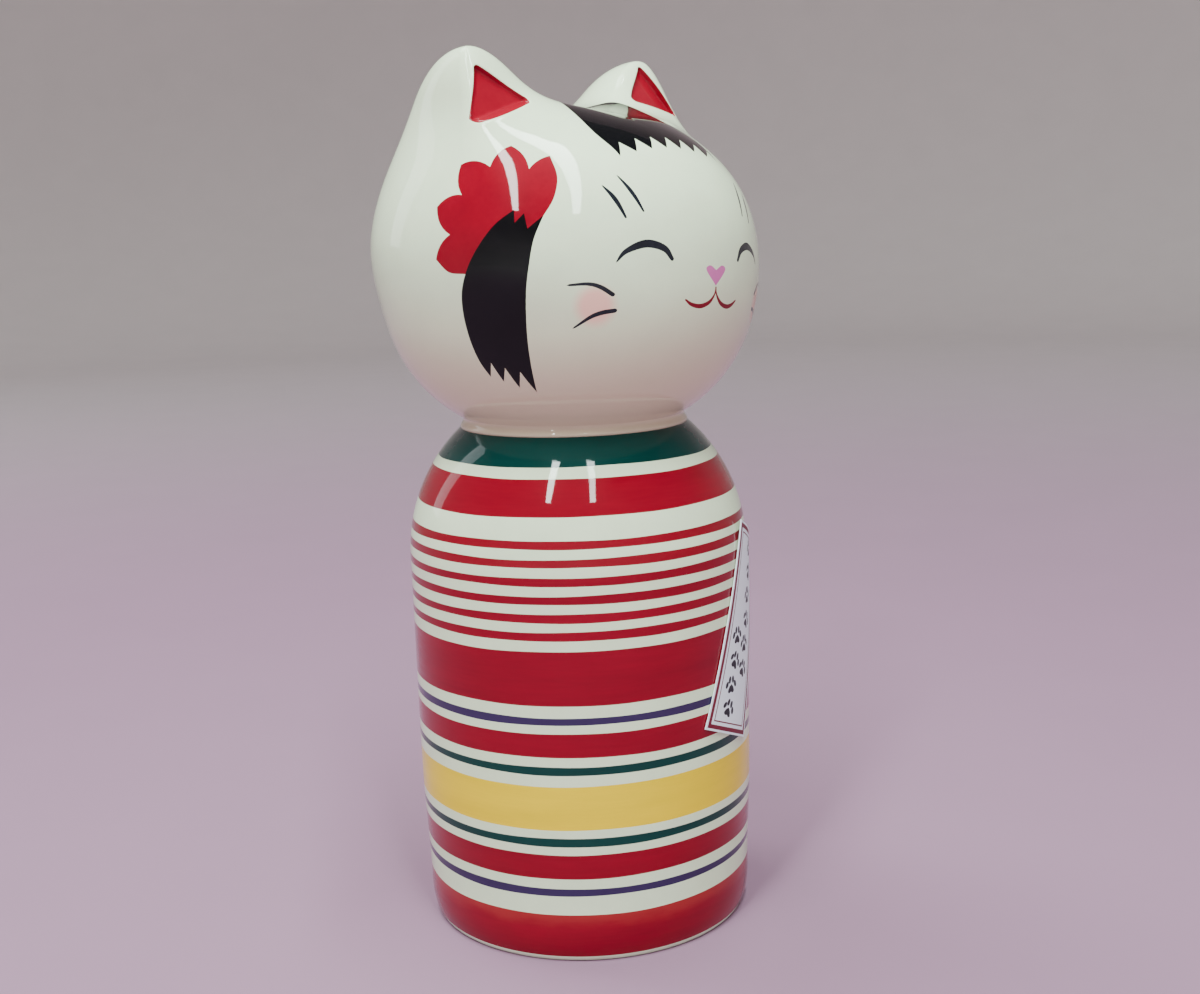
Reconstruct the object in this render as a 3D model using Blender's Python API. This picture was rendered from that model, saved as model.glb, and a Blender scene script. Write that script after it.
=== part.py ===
"""A glazed ceramic cat doll in the kokeshi style, made as a coin bank.

The doll stands on the plane z = 0 with its axis on Z. It faces -Y, so its left hand side is +X.
Lengths are written in millimetres and become metres through MM.
"""

import math

import bmesh
import bpy
from mathutils import Vector

MM = 0.001

# Driving dimensions, in millimetres and radians.
BODY_RADIUS = 45.0
SHOULDER_CENTRE_Z = 98.6  # the shoulder is a dome of BODY_RADIUS about this height
NECK_RADIUS = 29.3
TAPER_START_Z = 42.0  # below this height the wall narrows a little
TAPERED_RADIUS = 43.9
FOOT_RADIUS = 41.8  # where the rounded foot meets the table
FOOT_ROUND = 9.0  # height of the rounded foot
FOOT_RING_WIDTH = 6.5
FOOT_RING_DRAFT = 1.5
WALL = 4.0
BASE_RECESS = 3.0  # how far the base disc stands above the table
BASE_THICKNESS = 4.5

HEAD_CENTRE_Z = 172.2
HEAD_HALF_WIDTH = 48.9
HEAD_HALF_DEPTH = 49.4
HEAD_RISE = 39.5  # half height of the ball above its centre; the ears' roots fill its crown
HEAD_DROP = 44.4  # and below its centre, to the pole that the neck cuts off
HEAD_UPPER_FULLNESS = 2.27  # 2 gives an ellipsoid, more a fuller ball
HEAD_LOWER_FULLNESS = 2.22

EAR_TIP = Vector((32.2, 0.7, 54.2))  # from the head's centre
EAR_LEAN = 0.122  # how far the ear's axis leans outwards
EAR_SWEEP = -0.278  # run of the ear's axis towards the back, for each unit down it
# An ear is this wide 1 mm below its tip, and grows with the square root of the drop.
EAR_INNER_WIDTH = 4.24
EAR_OUTER_WIDTH = 2.11
EAR_FRONT_DEPTH = 1.64
EAR_BACK_DEPTH = 6.84
EAR_BLEND = 14.0
EAR_ROOT_BLEND = 15.8

# Corners of the recess in the front of the ear at +X: (x, z) from the head's centre.
RECESS_CORNERS = ((21.0, 42.1), (31.2, 50.7), (37.4, 37.3))
RECESS_ROLL = math.radians(2.84)  # the pair sits a little askew on the ears, as the painted face does
RECESS_DEPTH = 1.8

COIN_SLOT_LENGTH = 34.0
COIN_SLOT_WIDTH = 5.0
COIN_SLOT_Z = 185.0

STOPPER_HOLE_RADIUS = 14.5
STOPPER_FLANGE_RADIUS = 18.0
STOPPER_FLANGE_THICKNESS = 2.0
STOPPER_PLUG_HEIGHT = 8.5
STOPPER_PLUG_TAPER = 0.7
STOPPER_HOLLOW_RADIUS = 10.0
STOPPER_EDGE = 0.4

TAG_WIDTH = 20.5
TAG_LENGTH = 54.3
TAG_THICKNESS = 0.5
TAG_TILT = math.radians(22.1)
TAG_CENTRE_ARC = 15.5  # along the wall from the front, towards the doll's left
TAG_CENTRE_Z = 78.4
TAG_COLUMNS = 8
TAG_ROWS = 12

GAP = 0.3  # between pieces that touch
SEGMENTS = 56
HEAD_RINGS = 30
LINING_RINGS = 16
REACH = 90.0  # farther than any point of the head from its centre

NECK_Z = SHOULDER_CENTRE_Z + math.sqrt(BODY_RADIUS**2 - NECK_RADIUS**2)


def clear_scene():
    for thing in list(bpy.data.objects):
        bpy.data.objects.remove(thing, do_unlink=True)


def make_material(name, colour, roughness):
    made = bpy.data.materials.new(name)
    made.use_nodes = True
    shader = made.node_tree.nodes["Principled BSDF"]
    shader.inputs["Base Color"].default_value = (*colour, 1.0)
    shader.inputs["Roughness"].default_value = roughness
    shader.inputs["Metallic"].default_value = 0.0
    made.diffuse_color = (*colour, 1.0)
    return made


def add_object(name, shape, finish=None):
    """Turns a bmesh drawn in millimetres into a named object in metres."""
    bmesh.ops.scale(shape, vec=Vector((MM, MM, MM)), verts=shape.verts)
    bmesh.ops.recalc_face_normals(shape, faces=shape.faces)
    mesh = bpy.data.meshes.new(name)
    shape.to_mesh(mesh)
    shape.free()
    mesh.shade_smooth()
    mesh.set_sharp_from_angle(angle=math.radians(35.0))
    if finish:
        mesh.materials.append(finish)
    thing = bpy.data.objects.new(name, mesh)
    bpy.context.scene.collection.objects.link(thing)
    return thing


def cut(thing, name, shape):
    """Takes a shape out of a piece; the cutter stays in the file as a wire guide."""
    cutter = add_object(name, shape)
    cutter.hide_render = True
    cutter.display_type = "WIRE"
    boolean = thing.modifiers.new(name, "BOOLEAN")
    boolean.operation = "DIFFERENCE"
    boolean.solver = "EXACT"
    boolean.object = cutter


def ring(shape, radius, z):
    """A circle of vertices about Z."""
    turns = (2.0 * math.pi * step / SEGMENTS for step in range(SEGMENTS))
    return [shape.verts.new((radius * math.cos(turn), radius * math.sin(turn), z)) for turn in turns]


def bridge(shape, first, second):
    """Joins two rings with as many vertices each."""
    for step in range(len(first)):
        after = (step + 1) % len(first)
        shape.faces.new((first[step], first[after], second[after], second[step]))


def revolve(outline):
    """Turns a closed outline of (radius, height) points about Z."""
    shape = bmesh.new()
    rings = [ring(shape, radius, z) for radius, z in outline]
    for first, second in zip(rings, rings[1:] + rings[:1]):
        bridge(shape, first, second)
    return shape


def arc(centre, radii, start, end, steps):
    """(radius, height) points on an elliptical arc, with its angles in degrees."""
    turns = [math.radians(start + (end - start) * step / steps) for step in range(steps + 1)]
    return [(centre[0] + radii[0] * math.cos(turn), centre[1] + radii[1] * math.sin(turn)) for turn in turns]


def body_outline():
    """Up the outside from the foot to the neck, down the inside, and across the base."""
    foot_radii = (TAPERED_RADIUS - FOOT_RADIUS, FOOT_ROUND)
    foot = arc((FOOT_RADIUS, FOOT_ROUND), foot_radii, -90.0, 0.0, 4)
    top_turn = math.degrees(math.acos(NECK_RADIUS / BODY_RADIUS))
    dome = arc((0.0, SHOULDER_CENTRE_Z), (BODY_RADIUS, BODY_RADIUS), 0.0, top_turn, 9)

    inner_radius = BODY_RADIUS - WALL
    throat = NECK_RADIUS - WALL
    inner_turn = math.degrees(math.acos(throat / inner_radius))
    ceiling = arc((0.0, SHOULDER_CENTRE_Z), (inner_radius, inner_radius), inner_turn, 0.0, 7)
    floor_z = BASE_RECESS + BASE_THICKNESS
    cavity = [(throat, NECK_Z)] + ceiling
    cavity += [(inner_radius, TAPER_START_Z), (TAPERED_RADIUS - WALL, floor_z + WALL)]
    cavity += [(TAPERED_RADIUS - 2.0 * WALL, floor_z)]

    ring_inside = FOOT_RADIUS - FOOT_RING_WIDTH
    base = [(STOPPER_HOLE_RADIUS, floor_z), (STOPPER_HOLE_RADIUS, BASE_RECESS)]
    base += [(ring_inside - FOOT_RING_DRAFT, BASE_RECESS), (ring_inside, 0.0)]
    return foot + [(BODY_RADIUS, TAPER_START_Z)] + dome + cavity + base


def smooth_union(first, second, blend):
    """The smaller of two distances, rounded off where they come within `blend` of each other."""
    share = min(1.0, max(0.0, 0.5 + 0.5 * (second - first) / blend))
    return second + (first - second) * share - blend * share * (1.0 - share)


def ball_size(point, inset):
    """1 on the head's ball, or on the same ball with `inset` less on every half axis."""
    upper = point.z > 0.0
    height = (HEAD_RISE if upper else HEAD_DROP) - inset
    power = HEAD_UPPER_FULLNESS if upper else HEAD_LOWER_FULLNESS
    level = math.hypot(point.x / (HEAD_HALF_WIDTH - inset), point.y / (HEAD_HALF_DEPTH - inset))
    return (level**power + abs(point.z / height) ** power) ** (1.0 / power)


def ear_distance(point):
    """Negative inside either ear: a leaning paraboloid with a width of its own on each side."""
    across = abs(point.x) - EAR_TIP.x
    up = point.z - EAR_TIP.z
    down = -(across * math.sin(EAR_LEAN) + up * math.cos(EAR_LEAN))
    sideways = across * math.cos(EAR_LEAN) - up * math.sin(EAR_LEAN)
    backwards = point.y - EAR_TIP.y - EAR_SWEEP * down
    width = EAR_OUTER_WIDTH if sideways > 0.0 else EAR_INNER_WIDTH
    depth = EAR_BACK_DEPTH if backwards > 0.0 else EAR_FRONT_DEPTH
    rise = (sideways / width) ** 2 + (backwards / depth) ** 2
    steepness = math.hypot(1.0, 2.0 * sideways / width**2, 2.0 * backwards / depth**2)
    # The ear's root ends inside the ball, at the height of its centre.
    return -smooth_union(-(rise - down) / steepness, point.z, EAR_ROOT_BLEND)


def head_distance(point):
    """Negative inside the head; the point is measured from the head's centre."""
    ball = (ball_size(point, 0.0) - 1.0) * HEAD_HALF_DEPTH
    return smooth_union(ball, ear_distance(point), EAR_BLEND)


def head_surface(ray):
    """The point where a ray from the head's centre leaves the head."""
    near, far = 0.0, REACH
    while far - near > 1e-6:
        middle = 0.5 * (near + far)
        if head_distance(ray * middle) < 0.0:
            near = middle
        else:
            far = middle
    return ray * near


def lining_surface(ray):
    """The point where a ray from the head's centre meets the inside of its wall."""
    return ray / ball_size(ray, WALL)


def round_shell(surface, rings, collar_radius, collar_z):
    """A closed solid: a surface about the head's centre that ends below in an upright collar."""
    shape = bmesh.new()
    # The lowest ray meets the surface where it is as wide as the collar.
    low, high = -0.5 * math.pi, 0.0
    while high - low > 1e-6:
        lowest = 0.5 * (low + high)
        point = surface(Vector((0.0, -math.cos(lowest), math.sin(lowest))))
        if -point.y < collar_radius:
            low = lowest
        else:
            high = lowest
    crown = shape.verts.new(surface(Vector((0.0, 0.0, 1.0))))
    grid = []
    for row in range(1, rings + 1):
        lift = 0.5 * math.pi + (lowest - 0.5 * math.pi) * row / rings
        line = ring(shape, math.cos(lift), math.sin(lift))
        for vertex in line:
            vertex.co = surface(vertex.co.normalized())
        grid.append(line)
    grid.append(ring(shape, collar_radius, collar_z))
    for first, second in zip(grid, grid[1:]):
        bridge(shape, first, second)
    for step in range(SEGMENTS):
        shape.faces.new((crown, grid[0][step], grid[0][(step + 1) % SEGMENTS]))
    shape.faces.new(grid[-1])
    bmesh.ops.translate(shape, vec=Vector((0.0, 0.0, HEAD_CENTRE_Z)), verts=shape.verts)
    return shape


def prism(front, back):
    """A solid between two outlines with as many corners each."""
    shape = bmesh.new()
    loops = [[shape.verts.new(corner) for corner in outline] for outline in (front, back)]
    bridge(shape, *loops)
    for loop in loops:
        shape.faces.new(loop)
    return shape


def ear_face_y(x, z):
    """How far forwards the front of an ear is, at a place measured from the head's centre."""
    outside, inside = -HEAD_HALF_DEPTH, EAR_TIP.y
    while inside - outside > 1e-6:
        middle = 0.5 * (outside + inside)
        if head_distance(Vector((x, middle, z))) < 0.0:
            inside = middle
        else:
            outside = middle
    return inside


def ear_recess(side):
    """A three-cornered pocket, as deep at each corner, in the front of one ear."""
    front, floor = [], []
    for across, up in RECESS_CORNERS:
        x = side * across * math.cos(RECESS_ROLL) - up * math.sin(RECESS_ROLL)
        z = side * across * math.sin(RECESS_ROLL) + up * math.cos(RECESS_ROLL)
        front.append((x, -HEAD_HALF_DEPTH, z + HEAD_CENTRE_Z))
        floor.append((x, ear_face_y(x, z) + RECESS_DEPTH, z + HEAD_CENTRE_Z))
    return prism(front, floor)


def coin_slot():
    """A flat slot with round ends, through the back of the head."""
    half_width = 0.5 * COIN_SLOT_WIDTH
    end = arc((0.5 * COIN_SLOT_LENGTH - half_width, COIN_SLOT_Z), (half_width, half_width), -90.0, 90.0, 6)
    outline = end + [(-x, z) for x, z in reversed(end)]
    inner_y, outer_y = 0.5 * HEAD_HALF_DEPTH, HEAD_HALF_DEPTH + WALL
    return prism([(x, inner_y, z) for x, z in outline], [(x, outer_y, z) for x, z in outline])


def make_body(glaze):
    """The hollow cylinder, with its domed shoulder, open neck, foot ring and stopper hole."""
    return add_object("body_shell", revolve(body_outline()), glaze)


def make_head(glaze):
    """The ball and its ears, hollow, open at the neck, with ear recesses and the coin slot."""
    seam_z = NECK_Z + GAP - HEAD_CENTRE_Z
    head = add_object("head_shell", round_shell(head_surface, HEAD_RINGS, NECK_RADIUS, seam_z), glaze)
    throat = NECK_RADIUS - WALL
    cut(head, "head_hollow", round_shell(lining_surface, LINING_RINGS, throat, seam_z - WALL))
    cut(head, "left_ear_recess", ear_recess(1.0))
    cut(head, "right_ear_recess", ear_recess(-1.0))
    cut(head, "coin_slot", coin_slot())
    return head


def make_stopper(vinyl):
    """A soft plug with a flange under the base disc and a hollow that lets it squeeze."""
    radius = STOPPER_HOLE_RADIUS - GAP
    flange_top = BASE_RECESS - GAP
    flange_bottom = flange_top - STOPPER_FLANGE_THICKNESS
    plug_top = flange_top + STOPPER_PLUG_HEIGHT
    outline = [
        (STOPPER_FLANGE_RADIUS - STOPPER_EDGE, flange_bottom),
        (STOPPER_FLANGE_RADIUS, flange_bottom + STOPPER_EDGE),
        (STOPPER_FLANGE_RADIUS, flange_top - STOPPER_EDGE),
        (STOPPER_FLANGE_RADIUS - STOPPER_EDGE, flange_top),
        (radius, flange_top),
        (radius - STOPPER_PLUG_TAPER, plug_top),
        (STOPPER_HOLLOW_RADIUS, plug_top),
        (STOPPER_HOLLOW_RADIUS, flange_top + STOPPER_EDGE),
    ]
    shape = bmesh.new()
    rings = [ring(shape, r, z) for r, z in outline]
    for first, second in zip(rings, rings[1:]):
        bridge(shape, first, second)
    shape.faces.new(rings[0])
    shape.faces.new(rings[-1])
    return add_object("base_stopper", shape, vinyl)


def tag_point(across, along, radius):
    """A place on the card, from its centre, once it is tilted and bent round the wall."""
    sideways = across * math.cos(TAG_TILT) + along * math.sin(TAG_TILT)
    upwards = along * math.cos(TAG_TILT) - across * math.sin(TAG_TILT)
    turn = (TAG_CENTRE_ARC + sideways) / BODY_RADIUS
    return (radius * math.sin(turn), -radius * math.cos(turn), TAG_CENTRE_Z + upwards)


def make_tag(card):
    """A rectangle of card that lies against the wall."""
    shape = bmesh.new()
    rims = []
    for radius in (BODY_RADIUS + GAP, BODY_RADIUS + GAP + TAG_THICKNESS):
        grid = []
        for row in range(TAG_ROWS + 1):
            along = TAG_LENGTH * (row / TAG_ROWS - 0.5)
            steps = (TAG_WIDTH * (column / TAG_COLUMNS - 0.5) for column in range(TAG_COLUMNS + 1))
            grid.append([shape.verts.new(tag_point(across, along, radius)) for across in steps])
        for low, high in zip(grid, grid[1:]):
            for column in range(TAG_COLUMNS):
                shape.faces.new((low[column], low[column + 1], high[column + 1], high[column]))
        right = [line[-1] for line in grid[1:-1]]
        left = [line[0] for line in grid[1:-1]]
        rims.append(grid[0] + right + grid[-1][::-1] + left[::-1])
    bridge(shape, *rims)
    return add_object("paper_tag", shape, card)


def main():
    clear_scene()
    glaze_stripes = make_material("body_glaze", (0.62, 0.05, 0.06), 0.12)
    glaze_cream = make_material("head_glaze", (0.72, 0.74, 0.62), 0.12)
    vinyl = make_material("stopper_vinyl", (0.75, 0.73, 0.66), 0.45)
    card = make_material("tag_card", (0.80, 0.80, 0.82), 0.70)
    make_body(glaze_stripes)
    make_head(glaze_cream)
    make_stopper(vinyl)
    make_tag(card)


main()
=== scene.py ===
"""The looks of a glazed cat doll in the kokeshi style: its painted head and body, tag and stopper.

Shapes are drawn in millimetres. A shape on the head is measured from the head's centre, and every
other one from the middle of the foot. The doll faces -Y, so its left hand side is +X.
"""

import math

import bpy
import numpy as np
from mathutils import Matrix, Vector
from mathutils.geometry import delaunay_2d_cdt
from mathutils.kdtree import KDTree


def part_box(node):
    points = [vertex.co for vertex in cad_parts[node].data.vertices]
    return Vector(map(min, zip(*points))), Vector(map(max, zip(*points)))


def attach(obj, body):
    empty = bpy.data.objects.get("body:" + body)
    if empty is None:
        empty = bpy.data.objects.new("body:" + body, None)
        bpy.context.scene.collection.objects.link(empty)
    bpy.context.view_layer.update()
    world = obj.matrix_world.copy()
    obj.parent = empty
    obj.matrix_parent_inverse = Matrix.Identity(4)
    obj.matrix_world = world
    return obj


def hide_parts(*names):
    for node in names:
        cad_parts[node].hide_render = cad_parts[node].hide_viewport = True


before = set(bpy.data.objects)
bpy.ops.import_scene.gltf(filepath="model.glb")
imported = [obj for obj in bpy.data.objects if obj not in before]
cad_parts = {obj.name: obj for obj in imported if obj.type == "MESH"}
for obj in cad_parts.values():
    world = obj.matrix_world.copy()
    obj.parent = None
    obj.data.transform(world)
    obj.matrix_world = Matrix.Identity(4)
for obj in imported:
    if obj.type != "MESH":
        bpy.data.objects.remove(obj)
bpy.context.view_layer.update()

MM = 0.001


# ---- sizes

def node_box(name):
    """The lowest and highest corners of a CAD node, in millimetres."""
    return [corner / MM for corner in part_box(name)]


BODY_HIGH = node_box("body_shell")[1]
BODY_RADIUS, NECK_Z = BODY_HIGH.x, BODY_HIGH.z
SEAM_Z = node_box("head_shell")[0].z
STOPPER_LOW, STOPPER_HIGH = node_box("base_stopper")

# Body, as the CAD model has it, with the foot's and the base's edges eased.
NECK_RADIUS = 29.3
SHOULDER_CENTRE_Z = NECK_Z - math.sqrt(BODY_RADIUS**2 - NECK_RADIUS**2)
TAPER_START_Z = 42.0
TAPERED_RADIUS = 43.9
FOOT_RADIUS = 41.8
FOOT_ROUND = 9.0
FOOT_RING_WIDTH = 6.5
FOOT_RING_DRAFT = 1.5
WALL = 4.0
BASE_RECESS = 3.0
BASE_THICKNESS = 4.5
STOPPER_HOLE_RADIUS = 14.5
BASE_EDGE = 0.5
CORNER_STEPS = 7
CEILING_STEPS = 24

# Head, as the CAD model has it, but for rounder tips on the ear recesses.
HEAD_CENTRE = Vector((0.0, 0.0, NECK_Z + 39.45))
HEAD_HALF_WIDTH = 48.9
HEAD_HALF_DEPTH = 49.4
HEAD_RADIUS = 0.5 * (HEAD_HALF_WIDTH + HEAD_HALF_DEPTH)
HEAD_RISE = 39.5
HEAD_DROP = 44.4
HEAD_UPPER_FULLNESS = 2.27
HEAD_LOWER_FULLNESS = 2.22
EAR_TIP = Vector((32.2, 0.7, 54.2))
EAR_LEAN = 0.122
EAR_SWEEP = -0.278
EAR_INNER_WIDTH = 4.24
EAR_OUTER_WIDTH = 2.11
EAR_FRONT_DEPTH = 1.64
EAR_BACK_DEPTH = 6.84
EAR_BLEND = 14.0
EAR_ROOT_BLEND = 15.8
RECESS_CORNERS = ((20.2, 41.9), (31.3, 51.2), (37.6, 37.0))
RECESS_DEPTH = 1.8
RECESS_ROUND = 0.75
RECESS_LIP = 0.35
RECESS_WALL_RUN = 0.75
RECESS_PAINT_EDGE = 0.12  # how far the red runs past the recess's outline
RECESS_GUIDES = (RECESS_LIP, -0.1, -0.25, -0.4, -0.6)  # offsets of the rows of points down its wall
SLOT_LENGTH = 34.0  # of the coin slot
SLOT_WIDTH = 5.0
SLOT_RISE = 12.8
SLOT_LIP = 0.9
SLOT_GUIDES = (0.15, 0.35, 0.6, 1.0)  # rows of points over the slot's lip, as shares of it
REACH = 90.0  # farther from the head's centre than any of its surface
RIM_COUNT = 256
# Down the outside of the neck to the bead of glaze in its crease, and up the inside:
# (radius, height above the seam, paint).
COLLAR = (
    (29.3, 1.0, "ivory"), (29.45, 0.55, "ivory"), (29.75, 0.15, "ivory"), (30.0, -0.3, "ivory"),
    (30.05, -0.95, "ivory"), (25.8, 0.0, "bisque"), (25.3, 0.3, "bisque"),
)

# Tag: a thinner card in the place that the CAD model gives it.
TAG_WIDTH = 20.5
TAG_LENGTH = 54.3
TAG_THICKNESS = 0.3
TAG_TILT = math.radians(22.1)
TAG_CENTRE_ARC = 15.5
TAG_CENTRE_Z = 78.4
TAG_GAP = 0.3

# The face is painted a little askew on the casting, and the ear recesses are rolled with it.
FACE_ROLL = math.radians(2.84)
FACE_TURN = math.radians(-3.7)
LEFT_SIDE_SHARE = 0.94  # the strokes on the doll's left lie a little nearer its nose
CHEEK = (28.6, -8.9)  # the blush's middle, across and above the face's
CHEEK_FADE = (2.6, 6.2)
CHIN_SHADE_FADE = (4.0, -34.0)  # heights between which painted shade darkens and warms the head's glaze towards the chin
# how strongly the painted shade towards the chin mixes in
CHIN_SHADE_STRENGTH = 0.85

# Stripes from the neck down: (paint, lower edge, upper edge). The rest of the body is ivory.
STRIPES = (
    ("green", 125.5, NECK_Z), ("crimson", 114.4, 123.0), ("crimson", 106.8, 108.9),
    ("crimson", 102.4, 104.5), ("crimson", 97.9, 100.0), ("crimson", 93.4, 95.5),
    ("crimson", 88.9, 91.0), ("crimson", 84.4, 86.5), ("crimson", 67.9, 81.6),
    ("purple", 63.0, 65.0), ("crimson", 54.8, 60.9), ("green", 50.3, 52.3),
    ("yellow", 36.0, 47.3), ("green", 31.6, 33.6), ("crimson", 22.9, 29.2),
    ("purple", 18.2, 20.1), ("soft_crimson", 1.5, 13.1),
)

THINNING = (8.6, 13.4)  # heights between which the lowest stripe's paint turns thin

# The tag's print: frames as (paint, inset), outermost first, and paws as places from its centre.
TAG_FRAMES = (("border", 0.55), ("card", 1.65), ("line", 2.5), ("card", 2.85))
TAG_PAWS = (
    (-3.4, -2.8), (-3.0, -9.2), (-2.7, -15.6), (-2.4, -21.6),
    (1.9, 20.9), (2.0, 14.7), (2.1, 8.5), (2.3, 2.2), (2.6, -4.2), (2.9, -10.6),
)
TAG_PAW_SIZE = 1.4
TAG_PAW_LEAN = 0.25  # radians, to one side and the other in turn
TAG_GRAIN = 1.2

# Fineness of the meshes, in millimetres.
GRAIN = 1.0
EAR_GRAIN = 0.62
EAR_CONE = 0.89  # directions within this cosine of an ear's tip get the ear's grain
LINING_GRAIN = 4.0
LINING_LIFT = -54.0  # degrees above level of the lining's lower edge
OUTLINE_STEP = 0.45
BODY_STEP = 1.1
BODY_SEGMENTS = 288
STOPPER_SEGMENTS = 128

# The camera, in millimetres and degrees.
CAMERA_LENS = 45.0
CAMERA_DISTANCE = 395.7
CAMERA_HEIGHT = 182.0
VIEW_TURN = 47.0  # from the doll's front towards its right
CAMERA_YAW = 0.897
CAMERA_PITCH = 10.09
CAMERA_ROLL = -1.93

# The studio, in metres and watts. Lights are placed and aimed in the view's own axes: across, away
# from the camera and up.
TUBES = (("left", (-0.16, -0.20), (-0.70, -1.60)), ("right", (0.12, 0.20), (0.38, -1.68)))
TUBE_HEIGHT = 1.5
TUBE_WIDTH = 0.12
TUBE_POWER = 40.0
TUBE_COLOUR = (0.87, 1.0, 0.96)
LAMPS = (  # (name, place, target, size, power, colour)
    ("overhead", (-0.40, 0.30, 1.3), (0.0, 0.0, 0.2), (0.5, 0.8), 13.0, (0.90, 1.0, 0.97)),
    ("window_left", (-1.5, 0.8, 0.9), (0.0, 0.0, 0.15), (0.35, 1.2), 4.0, (0.93, 0.97, 1.0)),
)
WORLD_COLOUR = (1.0, 0.96, 0.93, 1.0)
WORLD_STRENGTH = 0.08
FLOOR_RADIUS = 2.0
FLOOR_SWEEP = 1.0
WALL_TOP = 3.2
FLOOR_SEGMENTS = 96
FLOOR_FADE = (300.0, 2600.0)  # millimetres from the doll over which the floor pales to the wall

# Sizes of the features in the paint and in the glaze over it.
PAINT_CLOUD = 9.0
PAINT_CLOUD_SHARE = 0.75
PAINT_FINE = 1.1
RIPPLE = 13.0
RIPPLE_DEPTH = 0.05
BRUSHED = (0.15, 0.15, 1.6)  # draws the clouds out round the body


# ---- colours and materials

def linear(red, green, blue):
    """A colour given as 0 to 255 on the screen's scale, as the shaders take it."""
    def channel(value):
        share = value / 255.0
        return share / 12.92 if share <= 0.04045 else ((share + 0.055) / 1.055) ** 2.4
    return (channel(red), channel(green), channel(blue), 1.0)


IVORY = linear(225, 240, 206)
# The head's ivory with painted shade, for its underside towards the chin.
SHADED_IVORY = linear(220, 200, 172)
CRIMSON = linear(136, 3, 30)
THIN_CRIMSON = linear(158, 40, 42)
FLOWER_RED = linear(137, 0, 29)
GREEN = linear(1, 55, 51)
YELLOW = linear(240, 204, 14)
PURPLE = linear(54, 40, 80)
HAIR_BLACK = linear(8, 8, 11)
INK = linear(28, 30, 38)
NOSE_PINK = linear(206, 108, 170)
MOUTH_RED = linear(124, 12, 32)
BLUSH = linear(246, 186, 170)
EAR_RED = linear(146, 12, 36)
BISQUE = linear(226, 216, 200)
VINYL = linear(228, 224, 212)
CARD = linear(238, 246, 255)
BORDER_RED = linear(112, 10, 38)
STUDIO_FLOOR = linear(144, 109, 133)
STUDIO_WALL = linear(238, 226, 227)


class Shader:
    """A node material under construction."""

    def __init__(self, name):
        self.material = bpy.data.materials.new(name)
        self.material.use_nodes = True
        self.nodes = self.material.node_tree.nodes
        self.links = self.material.node_tree.links
        self.principled = self.nodes["Principled BSDF"]
        self.place = self.nodes.new("ShaderNodeTexCoord").outputs["Object"]

    def put(self, socket, value):
        """Links a node's output to a socket, or sets the socket to a plain value."""
        if isinstance(value, bpy.types.NodeSocket):
            self.links.new(value, socket)
        else:
            socket.default_value = value

    def noise(self, size, detail=3.0, scale=(1.0, 1.0, 1.0)):
        """Noise from 0 to 1 with features of about that many millimetres."""
        mapping = self.nodes.new("ShaderNodeMapping")
        self.links.new(self.place, mapping.inputs["Vector"])
        mapping.inputs["Scale"].default_value = scale
        made = self.nodes.new("ShaderNodeTexNoise")
        self.links.new(mapping.outputs["Vector"], made.inputs["Vector"])
        made.inputs["Scale"].default_value = 1.0 / (size * MM)
        made.inputs["Detail"].default_value = detail
        return made.outputs["Fac"]

    def remap(self, value, low, high, to_low, to_high, smooth=False):
        """Takes low..high to to_low..to_high, clamped."""
        made = self.nodes.new("ShaderNodeMapRange")
        made.interpolation_type = "SMOOTHSTEP" if smooth else "LINEAR"
        self.put(made.inputs["Value"], value)
        ends = {"From Min": low, "From Max": high, "To Min": to_low, "To Max": to_high}
        for name, number in ends.items():
            made.inputs[name].default_value = number
        return made.outputs["Result"]

    def mix(self, share, first, second):
        """The first colour where the share is 0, and the second where it is 1."""
        made = self.nodes.new("ShaderNodeMix")
        made.data_type = "RGBA"
        self.put(made.inputs["Factor"], share)
        self.put(made.inputs[6], first)
        self.put(made.inputs[7], second)
        return made.outputs[2]

    def mottled(self, share, colour, uneven):
        """The colour, a little darker where the share is 0 and a little lighter where it is 1."""
        ends = [tuple(min(1.0, channel * change) for channel in colour[:3]) + (1.0,)
                for change in (1.0 - uneven, 1.0 + uneven)]
        return self.mix(share, *ends)

    def scaled(self, colour, share):
        """The colour made lighter or darker by a factor."""
        made = self.nodes.new("ShaderNodeVectorMath")
        made.operation = "SCALE"
        self.links.new(colour, made.inputs[0])
        self.put(made.inputs["Scale"], share)
        return made.outputs["Vector"]

    def math(self, operation, first, second):
        """Two numbers added, multiplied or divided, by the operation's name."""
        made = self.nodes.new("ShaderNodeMath")
        made.operation = operation
        self.put(made.inputs[0], first)
        self.put(made.inputs[1], second)
        return made.outputs["Value"]

    def height(self):
        """How far the place is above the object's origin, in millimetres."""
        parts = self.nodes.new("ShaderNodeSeparateXYZ")
        self.links.new(self.place, parts.inputs[0])
        return self.math("DIVIDE", parts.outputs["Z"], MM)

    def distance(self, point):
        """How far the place is from a point, in millimetres."""
        made = self.nodes.new("ShaderNodeVectorMath")
        made.operation = "DISTANCE"
        self.links.new(self.place, made.inputs[0])
        made.inputs[1].default_value = [value * MM for value in point]
        return self.math("DIVIDE", made.outputs["Value"], MM)

    def bump(self, height, depth):
        """Raises the surface by a 0 to 1 height of that many millimetres."""
        made = self.nodes.new("ShaderNodeBump")
        made.inputs["Distance"].default_value = depth * MM
        self.put(made.inputs["Height"], height)
        self.links.new(made.outputs["Normal"], self.principled.inputs["Normal"])
        return made.outputs["Normal"]

    def set(self, **values):
        """Sets Principled inputs, named with underscores for their spaces."""
        for name, value in values.items():
            self.put(self.principled.inputs[name.replace("_", " ")], value)


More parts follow.
